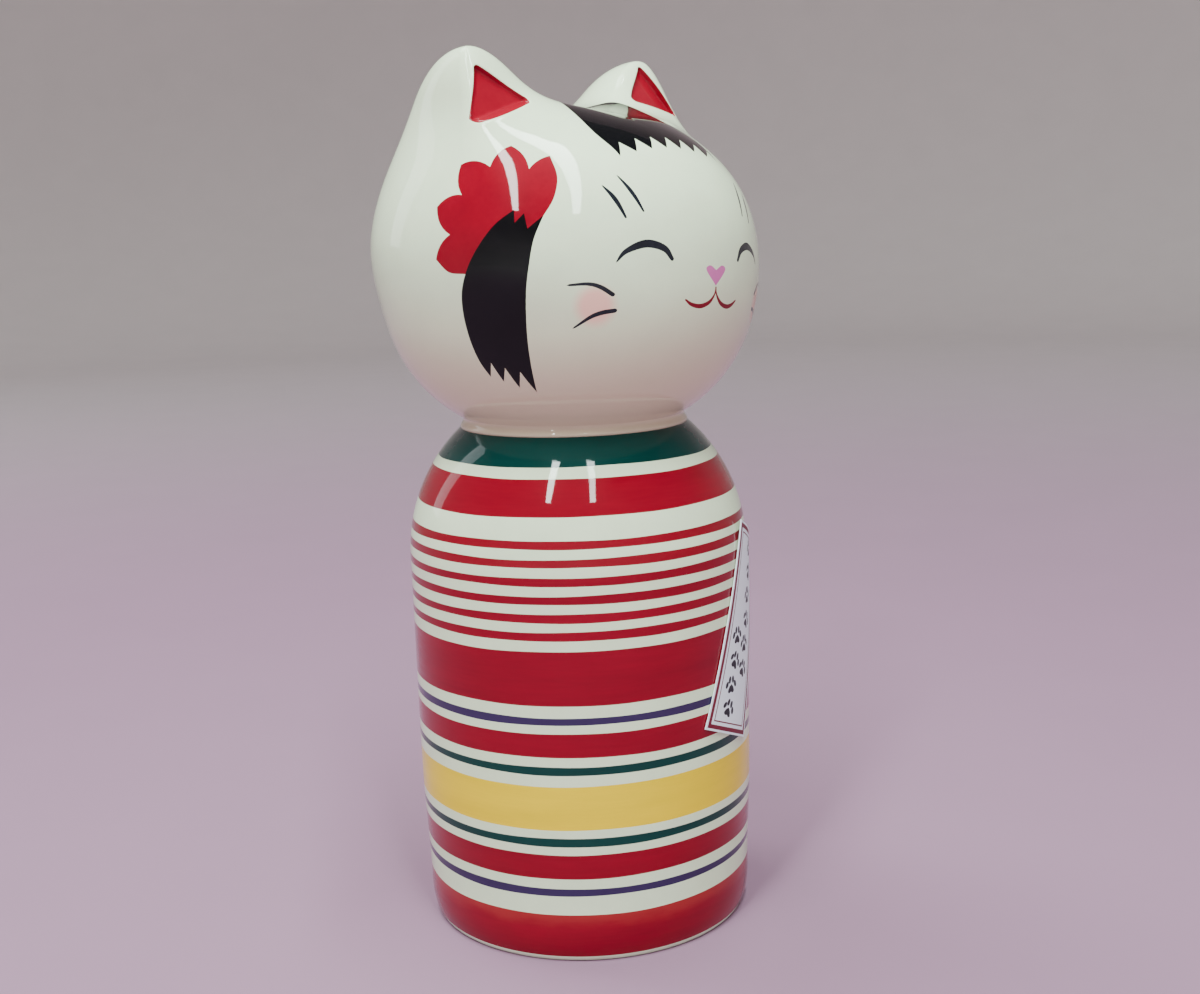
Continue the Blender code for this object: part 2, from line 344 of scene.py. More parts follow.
def glaze(name, colour, uneven, scale=(1.0, 1.0, 1.0), extra=None):
    """Underglaze paint beneath a clear, slightly rippled glaze."""
    shader = Shader(name + "_glaze")
    cloud = shader.noise(PAINT_CLOUD, 4.0, scale)
    fine = shader.noise(PAINT_FINE, 2.0, scale)
    both = shader.math("ADD", shader.math("MULTIPLY", cloud, PAINT_CLOUD_SHARE),
                       shader.math("MULTIPLY", fine, 1.0 - PAINT_CLOUD_SHARE))
    paint = shader.mottled(shader.remap(both, 0.32, 0.68, 0.0, 1.0), colour, uneven)
    if extra:
        paint = extra(shader, paint)
    normal = shader.bump(shader.noise(RIPPLE, 1.5), RIPPLE_DEPTH)
    shader.set(
        Base_Color=paint,
        Roughness=shader.remap(fine, 0.3, 0.7, 0.30, 0.42),
        IOR=1.5,
        Specular_IOR_Level=0.02,
        Coat_Weight=1.0,
        Coat_Roughness=0.035,
        Coat_IOR=1.31,
        Coat_Normal=normal,
    )
    return shader.material


def painter_direction(direction):
    """Turns directions drawn in the painted face's frame into the casting's."""
    spin = Matrix.Rotation(FACE_ROLL, 3, "Y") @ Matrix.Rotation(FACE_TURN, 3, "Z")
    return np.asarray(direction, float) @ np.array(spin).T


# ---- the head's shape

def blended(first, second, width):
    """The smaller of two distances, rounded off where they come within `width` of each other."""
    share = np.clip(0.5 + 0.5 * (second - first) / width, 0.0, 1.0)
    return second + (first - second) * share - width * share * (1.0 - share)


def ball_rise(z, inset):
    """The share of the way up or down the head's ball, raised to its fullness, and the fullness."""
    height = np.where(z > 0.0, HEAD_RISE, HEAD_DROP) - inset
    power = np.where(z > 0.0, HEAD_UPPER_FULLNESS, HEAD_LOWER_FULLNESS)
    return np.abs(z / height) ** power, power


def ball_size(points, inset=0.0):
    """1 on the head's ball, or on the same ball with `inset` less on every half axis."""
    rise, power = ball_rise(points[..., 2], inset)
    level = np.hypot(points[..., 0] / (HEAD_HALF_WIDTH - inset),
                     points[..., 1] / (HEAD_HALF_DEPTH - inset))
    return (level**power + rise) ** (1.0 / power)


def ball_depth(x, z, inset=0.0):
    """How far the ball reaches before and behind its centre, at places across and above it."""
    rise, power = ball_rise(z, inset)
    level = (1.0 - rise) ** (1.0 / power)
    square = level**2 - (x / (HEAD_HALF_WIDTH - inset)) ** 2
    return (HEAD_HALF_DEPTH - inset) * np.sqrt(np.maximum(square, 0.0))


def ear_distance(points):
    """Negative inside either ear."""
    across = np.abs(points[..., 0]) - EAR_TIP.x
    up = points[..., 2] - EAR_TIP.z
    down = -(across * math.sin(EAR_LEAN) + up * math.cos(EAR_LEAN))
    sideways = across * math.cos(EAR_LEAN) - up * math.sin(EAR_LEAN)
    backwards = points[..., 1] - EAR_TIP.y - EAR_SWEEP * down
    width = np.where(sideways > 0.0, EAR_OUTER_WIDTH, EAR_INNER_WIDTH)
    depth = np.where(backwards > 0.0, EAR_BACK_DEPTH, EAR_FRONT_DEPTH)
    rise = (sideways / width) ** 2 + (backwards / depth) ** 2
    slopes = (2.0 * sideways / width**2, 2.0 * backwards / depth**2)
    steepness = np.sqrt(1.0 + slopes[0] ** 2 + slopes[1] ** 2)
    return -blended(-(rise - down) / steepness, points[..., 2], EAR_ROOT_BLEND)


def head_distance(points):
    """Negative inside the head."""
    return blended((ball_size(points) - 1.0) * HEAD_HALF_DEPTH, ear_distance(points), EAR_BLEND)


def halved(inside, near, far):
    """The last value, from near to far, for which inside(value) holds."""
    for _ in range(34):
        middle = 0.5 * (near + far)
        within = inside(middle)
        near = np.where(within, middle, near)
        far = np.where(within, far, middle)
    return near


def unit(vectors):
    """The same directions, each with a length of 1."""
    return vectors / np.linalg.norm(vectors, axis=1)[:, None]


def on_head(directions):
    """Where rays from the head's centre leave the head."""
    rays = unit(directions)
    reach = halved(lambda length: head_distance(rays * length[:, None]) < 0.0,
                   np.zeros(len(rays)), np.full(len(rays), REACH))
    return rays * reach[:, None]


def head_normals(points):
    """The outward direction of the head's surface."""
    step = 0.02
    slopes = [head_distance(points + step * axis) - head_distance(points - step * axis)
              for axis in np.eye(3)]
    return unit(np.stack(slopes, axis=1))


def ear_front_y(x, z):
    """How far forwards the front of an ear is, at places across and above the head's centre."""
    x, z = np.asarray(x, float), np.asarray(z, float)
    return halved(lambda y: head_distance(np.stack([x, y, z], axis=-1)) < 0.0,
                  np.full(x.shape, EAR_TIP.y), np.full(x.shape, -HEAD_HALF_DEPTH))


# ---- drawing on the head
# The head is unrolled from below, so that its crown is the middle of the plan and its neck the rim.

def to_plan(directions):
    """Where directions come to lie on the plan."""
    rays = unit(directions)
    return rays[:, :2] / (1.0 + rays[:, 2:3])


def from_plan(plan):
    """The directions of places on the plan."""
    square = (plan**2).sum(axis=1)[:, None]
    return np.hstack([2.0 * plan, 1.0 - square]) / (1.0 + square)


def front(points):
    """Directions of places on the face, given across and above its middle, from the front."""
    x, z = np.array(points, float).T
    return painter_direction(np.stack([x, -ball_depth(x, z), z], axis=1))


def above(points):
    """Directions of places on the crown, given across and behind its middle, from above."""
    x, y = np.array(points, float).T
    level = np.hypot(x / HEAD_HALF_WIDTH, y / HEAD_HALF_DEPTH)
    z = HEAD_RISE * (1.0 - level**HEAD_UPPER_FULLNESS) ** (1.0 / HEAD_UPPER_FULLNESS)
    return painter_direction(np.stack([x, y, z], axis=1))


def around(points):
    """Directions of places given as degrees round from the face and degrees up."""
    turn, lift = np.radians(np.array(points, float)).T
    return painter_direction(np.stack(
        [np.sin(turn) * np.cos(lift), -np.cos(turn) * np.cos(lift), np.sin(lift)], axis=1))


def mirrored(points, share=1.0):
    """The same outline on the other side, run the other way round."""
    return [(-share * x, z) for x, z in reversed(points)]


def smooth(points, steps=8):
    """A curve through the points."""
    knots = np.array([points[0], *points, points[-1]], float)
    knots[0] = 2.0 * knots[1] - knots[2]
    knots[-1] = 2.0 * knots[-2] - knots[-3]
    curve = []
    for before, start, end, after in zip(knots, knots[1:], knots[2:], knots[3:]):
        for step in range(steps):
            t = step / steps
            curve.append(tuple(0.5 * (
                2.0 * start + (end - before) * t
                + (2.0 * before - 5.0 * start + 4.0 * end - after) * t**2
                + (3.0 * start - before - 3.0 * end + after) * t**3)))
    return curve + [tuple(knots[-2])]


def bowed(start, end, bow):
    """An arc from start up to, but not including, end. It bulges to its left by the share `bow`."""
    start, end = np.array(start, float), np.array(end, float)
    along = end - start
    left = np.array([-along[1], along[0]])
    shares = np.arange(6) / 6
    return [tuple(start + along * t + left * bow * 4.0 * t * (1.0 - t)) for t in shares]


def stroke(points, widths):
    """A brush stroke along a curve, with its width at each of the points and a round end."""
    line = np.array(smooth(points))
    spread = np.array([value for _, value in smooth(list(enumerate(widths)))]) * 0.5
    along = unit(np.gradient(line, axis=0))
    side = np.stack([-along[:, 1], along[:, 0]], axis=1) * spread[:, None]
    left, right = line + side, line - side
    onwards = spread[-1] * along[-1]
    end = [line[-1] + onwards * math.cos(turn) + side[-1] * math.sin(turn)
           for turn in np.radians((60.0, 30.0, 0.0, -30.0, -60.0))]
    return [tuple(point) for point in [*left[1:], *end, *right[:0:-1], line[0]]]


def evenly(outline, step):
    """The closed outline with points added so that none are further apart than `step`."""
    filled = []
    for start, end in zip(outline, outline[1:] + outline[:1]):
        parts = max(1, math.ceil(math.dist(start, end) / step))
        for part in range(parts):
            share = part / parts
            filled.append(tuple(a + (b - a) * share for a, b in zip(start, end)))
    return filled


# ---- the painted motifs

def fringe():
    """Eight slanting locks above the brow, and straight sides that close on the crown."""
    locks, pitch = 8, 4.92
    half = 0.5 * (locks - 1)
    comb = []  # its tips and its notches lie on two shallow arches
    for lock in range(locks):
        tip = (lock - half) * pitch
        comb.append((tip, 28.5 - 0.0093 * tip**2))
        if lock < locks - 1:
            notch = tip + 2.6 + 0.25 * lock
            comb.append((notch, 31.4 - 0.0095 * notch**2))
    edge = smooth([(17.2, -35.6), (17.4, -26.0), (11.9, -9.8), (6.0, -1.5), (0.0, 1.0)], steps=14)
    crown = edge + mirrored(edge)[1:]
    outline = evenly(comb, 0.6)
    last = outline.index(comb[-1]) + 1
    return np.vstack([front(outline[:last]), above(crown[1:-1])])


def side_hair():
    """A lock in front of the ear, with four points below and three up into the flower."""
    back = smooth([(-58.1, 14.8), (-63.3, 10.7), (-68.6, 3.9), (-71.9, -1.8), (-73.8, -7.2),
                   (-74.2, -13.5), (-73.5, -20.4), (-72.0, -26.8), (-69.7, -31.7)])
    lower = [(-68.1, -27.0), (-65.4, -33.3), (-63.7, -28.5), (-60.3, -35.4), (-58.9, -29.7)]
    face = smooth([(-54.5, -37.0), (-55.0, -27.4), (-55.2, -17.9), (-54.7, -7.1), (-53.7, 0.2),
                   (-52.4, 7.2), (-50.0, 13.4)])
    upper = [(-54.2, 9.8), (-55.3, 13.9), (-57.7, 11.3)]
    return back + lower + face + upper


def flower():
    """Five petals fanned out behind the hair."""
    notches = [(-55.1, 26.8), (-66.8, 26.8), (-74.2, 19.0), (-76.9, 8.5)]
    tips = [(-62.0, 34.0), (-76.7, 27.5), (-82.8, 16.1)]
    outline = smooth([(-53.6, 8.0), (-50.3, 12.9), (-47.3, 18.5), (-46.6, 25.0), (-49.2, 31.8)])
    outline = outline[:-1] + bowed((-49.2, 31.8), notches[0], -0.10)
    for start, tip, end in zip(notches, tips, notches[1:]):
        outline += bowed(start, tip, -0.13) + bowed(tip, end, -0.13)
    outline += bowed(notches[-1], (-81.8, 2.0), -0.12)
    outline += smooth([(-81.8, 2.0), (-77.4, -1.4), (-71.7, -1.9)])[:-1]
    return outline + smooth([(-71.7, -1.9), (-66.0, 3.0), (-60.0, 6.5)])[:-1]


def face_motifs():
    """(paint, outline directions) of every painted shape, the ones on top last."""
    ink_strokes = [
        stroke([(-24.9, 18.7), (-23.4, 15.7), (-22.1, 11.3)], (0.3, 1.1, 0.55)),
        stroke([(-20.8, 21.2), (-19.2, 17.3), (-17.8, 12.8)], (0.3, 1.0, 0.5)),
        stroke([(-25.1, 0.9), (-22.9, 3.5), (-18.3, 5.3), (-14.0, 4.3), (-12.0, 1.9)],
               (0.25, 1.1, 1.85, 1.6, 1.0)),
        stroke([(-34.0, -4.2), (-30.4, -3.9), (-28.0, -4.6), (-25.5, -6.3)],
               (0.45, 0.8, 0.95, 0.95)),
        stroke([(-31.9, -14.2), (-29.3, -11.6), (-27.2, -10.5), (-24.7, -10.0)],
               (0.35, 0.85, 1.05, 1.0)),
    ]
    nose = smooth([(1.9, -0.6), (-0.1, 0.45), (-1.55, 0.0), (-1.2, -1.2), (1.9, -4.3)])
    nose += smooth([(1.9, -4.3), (5.0, -1.2), (5.3, 0.0), (3.9, 0.45), (1.9, -0.6)])[1:-1]
    mouth = (
        [(2.0, -4.4), (1.7, -6.3), (0.0, -8.2), (-2.8, -9.1), (-5.7, -8.7), (-7.7, -7.6)],
        [(2.0, -4.4), (2.4, -6.3), (4.3, -8.4), (7.0, -9.3), (9.2, -8.9), (10.9, -7.9)],
    )
    shapes = [("hair", fringe())]
    for side in (list, mirrored):
        shapes += [("flower", around(side(flower()))), ("hair", around(side(side_hair())))]
    for outline in ink_strokes:
        shapes += [("ink", front(outline)), ("ink", front(mirrored(outline, LEFT_SIDE_SHARE)))]
    shapes += [("mouth", front(stroke(half, (0.35, 0.5, 0.95, 1.1, 0.9, 0.45)))) for half in mouth]
    shapes.append(("nose", front(nose)))
    return shapes


# ---- meshes

def imprint(edge, shapes, holes, grain, loose=()):
    """Triangulates a flat region so that every shape's outline runs along edges.

    Returns the points, the triangles outside the holes, the number of the topmost shape over each
    triangle, or -1, and the point numbers along the edge and each hole. Grain points carry the room
    that they need, and are dropped where they crowd an outline.
    """
    outlines = [edge, *shapes, *holes]
    fixed = np.vstack([*outlines, *loose])
    loops, anticlockwise, start = [], [], 0
    for outline in outlines:
        loops.append(list(range(start, start + len(outline))))
        x, y = np.asarray(outline).T
        turned = (x * np.roll(y, -1) - y * np.roll(x, -1)).sum() < 0.0
        anticlockwise.append(loops[-1][::-1] if turned else loops[-1])
        start += len(outline)
    tree = KDTree(len(fixed))
    for index, point in enumerate(fixed):
        tree.insert((point[0], point[1], 0.0), index)
    tree.balance()
    roomy = [point for point in grain if tree.find((point[0], point[1], 0.0))[2] > point[2]]
    flat = [Vector(point[:2]) for point in [*fixed, *roomy]]
    points, _, triangles, sources, _, regions = delaunay_2d_cdt(flat, [], anticlockwise, 1, 1e-7)
    first_hole = 1 + len(shapes)
    kept, owners = [], []
    for triangle, inside in zip(triangles, regions):
        if max(inside) < first_hole:
            kept.append(triangle)
            owners.append(max(inside) - 1)
    place = {source: index for index, group in enumerate(sources) for source in group}
    rims = [[place[source] for source in loop] for loop in [loops[0], *loops[first_hole:]]]
    return np.array([tuple(point) for point in points]), np.array(kept), owners, rims


def sphere_points(step, keep):
    """Plan points about `step` millimetres apart on the head, with the room that each needs."""
    cell = 0.87 * step**2  # the area round each point of an evenly packed surface
    count = int(4.0 * math.pi * HEAD_RADIUS**2 / cell)
    # An even spiral from the crown to the nadir:
    index = np.arange(count) + 0.5
    height = 1.0 - 2.0 * index / count
    turn = math.pi * (1.0 + math.sqrt(5.0)) * index
    radius = np.sqrt(1.0 - height**2)
    directions = np.stack([radius * np.cos(turn), radius * np.sin(turn), height], axis=1)
    directions = directions[keep(directions)]
    plan = to_plan(directions)
    # A length on the sphere is this much longer on the plan.
    growth = 0.5 * (1.0 + (plan**2).sum(axis=1)) / HEAD_RADIUS
    return np.hstack([plan, (0.45 * step * growth)[:, None]])


def in_scene(name, data):
    """A new object in the scene, with that mesh, camera or light."""
    made = bpy.data.objects.new(name, data)
    bpy.context.scene.collection.objects.link(made)
    return made


def build(name, vertices, faces, paints, owners=None):
    """Makes a smooth mesh object from shapes in millimetres; `owners` names each face's paint."""
    mesh = bpy.data.meshes.new(name)
    places = (np.array(vertices) * MM).tolist()
    mesh.from_pydata(places, [], [tuple(int(i) for i in face) for face in faces])
    for material in paints.values():
        mesh.materials.append(material)
    if owners:
        number = {paint: index for index, paint in enumerate(paints)}
        mesh.polygons.foreach_set("material_index", [number[owner] for owner in owners])
    mesh.shade_smooth()
    mesh.update()
    return in_scene(name, mesh)


def face_normals(vertices, faces):
    """Vertex normals from the faces' own, by area."""
    corners = vertices[faces]
    across = np.cross(corners[:, 1] - corners[:, 0], corners[:, 2] - corners[:, 0])
    normals = np.zeros_like(vertices)
    for corner in range(3):
        np.add.at(normals, faces[:, corner], across)
    length = np.linalg.norm(normals, axis=1)[:, None]
    return normals / np.maximum(length, 1e-12)


def recess_corners(side):
    """An ear recess's corners: each one's rounding centre in (x, z), way inwards and half angle."""
    sway, level = math.sin(FACE_ROLL), math.cos(FACE_ROLL)
    corners = [np.array([side * x * level - z * sway, side * x * sway + z * level])
               for x, z in RECESS_CORNERS]
    middles = []
    for index, corner in enumerate(corners):
        ways = [corners[index - 1] - corner, corners[(index + 1) % 3] - corner]
        to_last, to_next = unit(np.array(ways))
        inwards = unit((to_last + to_next)[None])[0]
        half_angle = 0.5 * math.acos(to_last @ to_next)
        middle = corner + inwards * RECESS_ROUND / math.sin(half_angle)
        middles.append((middle, inwards, half_angle))
    return middles


def recess_outline(side, offset):
    """An ear recess's outline in (x, z), moved outwards by `offset`; its corners stay round."""
    outline = []
    for middle, inwards, half_angle in recess_corners(side):
        facing = math.atan2(-inwards[1], -inwards[0])
        spread = side * (0.5 * math.pi - half_angle)
        for step in range(-4, 5):
            turn = facing - spread * step / 4
            outwards = np.array([math.cos(turn), math.sin(turn)])
            outline.append(tuple(middle + (RECESS_ROUND + offset) * outwards))
    return evenly(outline, OUTLINE_STEP)


def outside_polygon(points, corners):
    """How far points are outside a polygon, or, with a minus, inside it."""
    nearest = np.full(len(points), np.inf)
    inside = np.zeros(len(points), bool)
    for start, end in zip(corners, corners[1:] + corners[:1]):
        start, along = np.asarray(start), np.subtract(end, start)
        share = np.clip((points - start) @ along / (along @ along), 0.0, 1.0)
        away = np.linalg.norm(points - start - share[:, None] * along, axis=1)
        nearest = np.minimum(nearest, away)
        spans = (points[:, 1] < start[1]) != (points[:, 1] < end[1])
        rise = along[1] if along[1] else 1.0
        inside ^= spans & (points[:, 0] < start[0] + along[0] * (points[:, 1] - start[1]) / rise)
    return np.where(inside, -nearest, nearest)


def eased(share):
    """The share, clipped to 0 to 1 and eased in and out."""
    share = np.clip(share, 0.0, 1.0)
    return share * share * (3.0 - 2.0 * share)


def ear_places(outline):
    """Directions of places on the front of an ear, given across and above the head's centre."""
    x, z = np.array(outline).T
    return np.stack([x, ear_front_y(x, z), z], axis=1)


def sink_recesses(points):
    """Presses a flat-bottomed recess into each ear. Returns the points and which ones moved."""
    sunk, moved = points.copy(), np.zeros(len(points), bool)
    for side in (-1.0, 1.0):
        middles = [tuple(middle) for middle, _, _ in recess_corners(side)]
        corners = np.array(middles)
        floor_y = ear_front_y(corners[:, 0], corners[:, 1]) + RECESS_DEPTH
        plane = np.linalg.solve(np.hstack([corners, np.ones((3, 1))]), floor_y)
        outside = outside_polygon(points[:, ::2], middles) - RECESS_ROUND
        share = eased((RECESS_LIP - outside) / (RECESS_LIP + RECESS_WALL_RUN))
        share[points[:, 1] > EAR_TIP.y] = 0.0
        bottom_y = plane[0] * points[:, 0] + plane[1] * points[:, 2] + plane[2]
        sunk[:, 1] += share * (bottom_y - points[:, 1])
        moved |= outside < RECESS_LIP + GRAIN
    return sunk, moved


def slot_outline(offset):
    """The coin slot's outline in (x, z), moved outwards by `offset`."""
    reach = 0.5 * SLOT_WIDTH + offset
    middle = 0.5 * (SLOT_LENGTH - SLOT_WIDTH)
    end = [(middle + reach * math.sin(turn), SLOT_RISE - reach * math.cos(turn))
           for turn in np.linspace(0.0, math.pi, 19)]
    return evenly(end + [(-x, 2.0 * SLOT_RISE - z) for x, z in end], OUTLINE_STEP)


def back_places(outline, inset=0.0):
    """Directions of places on the back of the head's ball, given across and above its centre."""
    x, z = np.array(outline).T
    return np.stack([x, ball_depth(x, z, inset), z], axis=1)


def round_slot_lip(points):
    """Rolls the glaze over the edge of the coin slot. Returns the points and which moved."""
    middle = 0.5 * (SLOT_LENGTH - SLOT_WIDTH)
    beyond = np.maximum(np.abs(points[:, 0]) - middle, 0.0)
    outside = np.hypot(beyond, points[:, 2] - SLOT_RISE) - 0.5 * SLOT_WIDTH
    near = (outside < SLOT_LIP) & (points[:, 1] > 0.0)
    short = SLOT_LIP - np.clip(outside, 0.0, SLOT_LIP)
    rolled = points.copy()
    rolled[:, 1] -= np.where(near, SLOT_LIP - np.sqrt(SLOT_LIP**2 - short**2), 0.0)
    return rolled, near


def rim_lift():
    """The angle above level at which the head's ball narrows to its neck."""
    def as_wide(lift):
        ray = np.array([[0.0, -math.cos(lift), math.sin(lift)]])
        return -on_head(ray)[0, 1] > NECK_RADIUS
    return float(halved(as_wide, 0.0, -0.5 * math.pi))


def circle(radius, height, count):
    """Places round a level circle."""
    turns = 2.0 * math.pi * np.arange(count) / count
    ring = [radius * np.cos(turns), radius * np.sin(turns), np.full(count, height)]
    return np.stack(ring, axis=1)


def rim_plan(lift):
    """A level rim round the head's ball, at that angle above level, on the plan."""
    return to_plan(circle(math.cos(lift), math.sin(lift), RIM_COUNT))


def strip(upper, lower):
    """Quads between two closed rings of vertices, anticlockwise as seen from the upper side."""
    return list(zip(upper, lower, lower[1:] + lower[:1], upper[1:] + upper[:1]))


def lathe(profile, count):
    """Vertices round a circle at each (radius, height), and their numbers ring by ring."""
    vertices = [place for radius, z in profile for place in circle(radius, z, count)]
    return vertices, [list(range(row * count, (row + 1) * count)) for row in range(len(profile))]


def head_outside():
    """The painted outside of the head: its points, normals, triangles, their paints, and rims."""
    lift = rim_lift()
    rim = rim_plan(lift)
    shapes, names = [], []
    for paint, directions in face_motifs():
        directions *= HEAD_RADIUS / np.linalg.norm(directions, axis=1)[:, None]
        outline = evenly([tuple(place) for place in directions], OUTLINE_STEP)
        shapes.append(to_plan(np.array(outline)))
        names.append(paint)
    loose = [to_plan(back_places(slot_outline(SLOT_LIP * share))) for share in SLOT_GUIDES]
    for side in (-1.0, 1.0):
        shapes.append(to_plan(ear_places(recess_outline(side, RECESS_PAINT_EDGE))))
        names.append("ear")
        for offset in RECESS_GUIDES:
            loose.append(to_plan(ear_places(recess_outline(side, offset))))

    ear_way = np.array(EAR_TIP) / EAR_TIP.length
    other_ear_way = ear_way * (-1.0, 1.0, 1.0)

    def near_ear(directions):
        return np.maximum(directions @ ear_way, directions @ other_ear_way) > EAR_CONE

    def above_rim(directions):
        return directions[:, 2] > math.sin(lift) + 0.012

    grain = np.vstack([
        sphere_points(GRAIN, lambda ways: above_rim(ways) & ~near_ear(ways)),
        sphere_points(EAR_GRAIN, near_ear),
    ])
    hole = to_plan(back_places(slot_outline(0.0)))
    plan, triangles, owners, rims = imprint(rim, shapes, [hole], grain, loose)
    points = on_head(from_plan(plan))
    normals = head_normals(points)
    points, in_ears = sink_recesses(points)
    points, at_slot = round_slot_lip(points)
    reshaped = in_ears | at_slot
    normals[reshaped] = face_normals(points, triangles)[reshaped]
    painted = [names[owner] if owner >= 0 else "ivory" for owner in owners]
    return points, normals, triangles, painted, rims


def head_lining():
    """The inside of the head's wall, facing inwards, with the coin slot's inner edge."""
    lift = math.radians(LINING_LIFT)
    rim = rim_plan(lift)
    grain = sphere_points(LINING_GRAIN, lambda ways: ways[:, 2] > math.sin(lift) + 0.05)
    hole = to_plan(back_places(slot_outline(0.0), WALL))
    plan, triangles, _, rims = imprint(rim, [], [hole], grain)
    rays = from_plan(plan)
    return rays / ball_size(rays, WALL)[:, None], triangles[:, ::-1], rims


def make_head(paints):
    """The head as one closed shell: painted outside, bare lining, neck collar and coin slot."""
    points, normals, triangles, painted, (outer_rim, outer_slot) = head_outside()
    lining, lining_triangles, lining_rims = head_lining()
    inner_rim, inner_slot = [[len(points) + index for index in rim] for rim in lining_rims]
    vertices = [*points, *lining]
    faces = [*triangles, *(lining_triangles + len(points))]
    painted += ["bisque"] * len(lining_triangles)
    above = outer_rim
    for radius, rise, paint in COLLAR:
        ring = list(range(len(vertices), len(vertices) + RIM_COUNT))
        vertices += [*circle(radius, SEAM_Z - HEAD_CENTRE.z + rise, RIM_COUNT)]
        faces += strip(above, ring)
        painted += [paint] * RIM_COUNT
        above = ring
    faces += strip(above, inner_rim)
    painted += ["bisque"] * RIM_COUNT
    faces += strip(outer_slot, inner_slot)
    painted += ["ivory"] * len(outer_slot)

    head = build("head", np.array(vertices) + np.array(HEAD_CENTRE), faces, paints, painted)
    # The curved outside keeps its true normals, and every other corner gets Blender's own.
    corner_normals = np.zeros((len(head.data.loops), 3))
    corner_normals[:triangles.size] = normals[triangles.ravel()]
    head.data.normals_split_custom_set(corner_normals.tolist())
    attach(head, "doll")
    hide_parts("head_shell")


# ---- the body

def outer_radius(z):
    """The body's outside: rounded foot, slight taper, wall and domed shoulder."""
    if z < FOOT_ROUND:
        share = 1.0 - z / FOOT_ROUND
        return FOOT_RADIUS + (TAPERED_RADIUS - FOOT_RADIUS) * math.sqrt(max(0.0, 1.0 - share**2))
    if z < TAPER_START_Z:
        share = eased((z - FOOT_ROUND) / (TAPER_START_Z - FOOT_ROUND))
        return TAPERED_RADIUS + (BODY_RADIUS - TAPERED_RADIUS) * share
    if z < SHOULDER_CENTRE_Z:
        return BODY_RADIUS
    return math.sqrt(BODY_RADIUS**2 - (z - SHOULDER_CENTRE_Z) ** 2)


def levels(edges, step):
    """Heights from the lowest edge to the highest, with every edge, at most `step` apart."""
    edges = sorted(edges)
    heights = []
    for low, high in zip(edges, edges[1:]):
        parts = max(1, math.ceil((high - low) / step))
        heights += [low + (high - low) * part / parts for part in range(parts)]
    return heights + [edges[-1]]


def wander(turn, z):
    """How far the brush strays up or down from a stripe's level, round the body."""
    return (0.10 * math.sin(2.0 * turn + 1.3 * z) + 0.06 * math.sin(5.0 * turn + 2.1 * z)
            + 0.03 * math.sin(11.0 * turn - 1.7 * z))


def paint_at(z):
    """The paint on the body at that height."""
    for paint, low, high in STRIPES:
        if low < z < high:
            return paint
    return "ivory"


def make_body(paints):
    """The striped body, as one closed shell with its hollow, foot ring and stopper hole."""
    edges = {0.0, 0.25, FOOT_ROUND, SHOULDER_CENTRE_Z, NECK_Z}
    for _, low, high in STRIPES:
        edges |= {low, high}
    outside = levels(edges, BODY_STEP)
    profile = [(outer_radius(z), z) for z in outside]
    paint_row = [paint_at(0.5 * (low + high)) for low, high in zip(outside, outside[1:])]

    floor_z = BASE_RECESS + BASE_THICKNESS
    inner_radius = BODY_RADIUS - WALL
    ceiling_low = math.acos((NECK_RADIUS - WALL) / inner_radius)
    inside = [(NECK_RADIUS - WALL, NECK_Z)]
    for turn in np.linspace(ceiling_low, 0.0, CEILING_STEPS):
        rise = inner_radius * math.sin(turn)
        inside.append((inner_radius * math.cos(turn), SHOULDER_CENTRE_Z + rise))
    inside += [(inner_radius, TAPER_START_Z), (TAPERED_RADIUS - WALL, floor_z + WALL)]
    for turn in np.linspace(0.0, 0.5 * math.pi, CORNER_STEPS)[1:]:
        reach = TAPERED_RADIUS - 2.0 * WALL + WALL * math.cos(turn)
        inside.append((reach, floor_z + WALL - WALL * math.sin(turn)))
    ring_inside = FOOT_RADIUS - FOOT_RING_WIDTH
    ring_root = ring_inside - FOOT_RING_DRAFT
    under = [
        (STOPPER_HOLE_RADIUS + BASE_EDGE, floor_z), (STOPPER_HOLE_RADIUS, floor_z - BASE_EDGE),
        (STOPPER_HOLE_RADIUS, BASE_RECESS + 0.4), (STOPPER_HOLE_RADIUS + 0.4, BASE_RECESS),
        (ring_root - 0.8, BASE_RECESS), (ring_root, BASE_RECESS - BASE_EDGE),
        (ring_inside - 0.4, 0.35), (ring_inside + 0.3, 0.0),
    ]
    profile += inside + under
    paint_row += ["bisque"] * (len(profile) - len(paint_row))

    turns = 2.0 * math.pi * np.arange(BODY_SEGMENTS) / BODY_SEGMENTS
    vertices, faces, painted = [], [], []
    for row, (radius, z) in enumerate(profile):
        for turn in turns:
            height, reach = z, radius
            if FOOT_ROUND * 0.5 < z < NECK_Z and row < len(outside):
                height = z + wander(turn, z)
                reach = outer_radius(height)
            vertices.append((reach * math.cos(turn), reach * math.sin(turn), height))
    _, rings = lathe(profile, BODY_SEGMENTS)
    for low, high, paint in zip(rings, rings[1:] + rings[:1], paint_row):
        faces += strip(high, low)
        painted += [paint] * BODY_SEGMENTS
    body = build("body", vertices, faces, paints, painted)
    body.data.set_sharp_from_angle(angle=math.radians(50.0))
    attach(body, "doll")
    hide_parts("body_shell")


# ---- the tag

def on_wall(across, along, radius):
    """A place on the card, from its centre, once it is tilted and bent round the wall."""
    sideways = across * math.cos(TAG_TILT) + along * math.sin(TAG_TILT)
    upwards = along * math.cos(TAG_TILT) - across * math.sin(TAG_TILT)
    turn = (TAG_CENTRE_ARC + sideways) / BODY_RADIUS
    return (radius * math.sin(turn), -radius * math.cos(turn), TAG_CENTRE_Z + upwards)


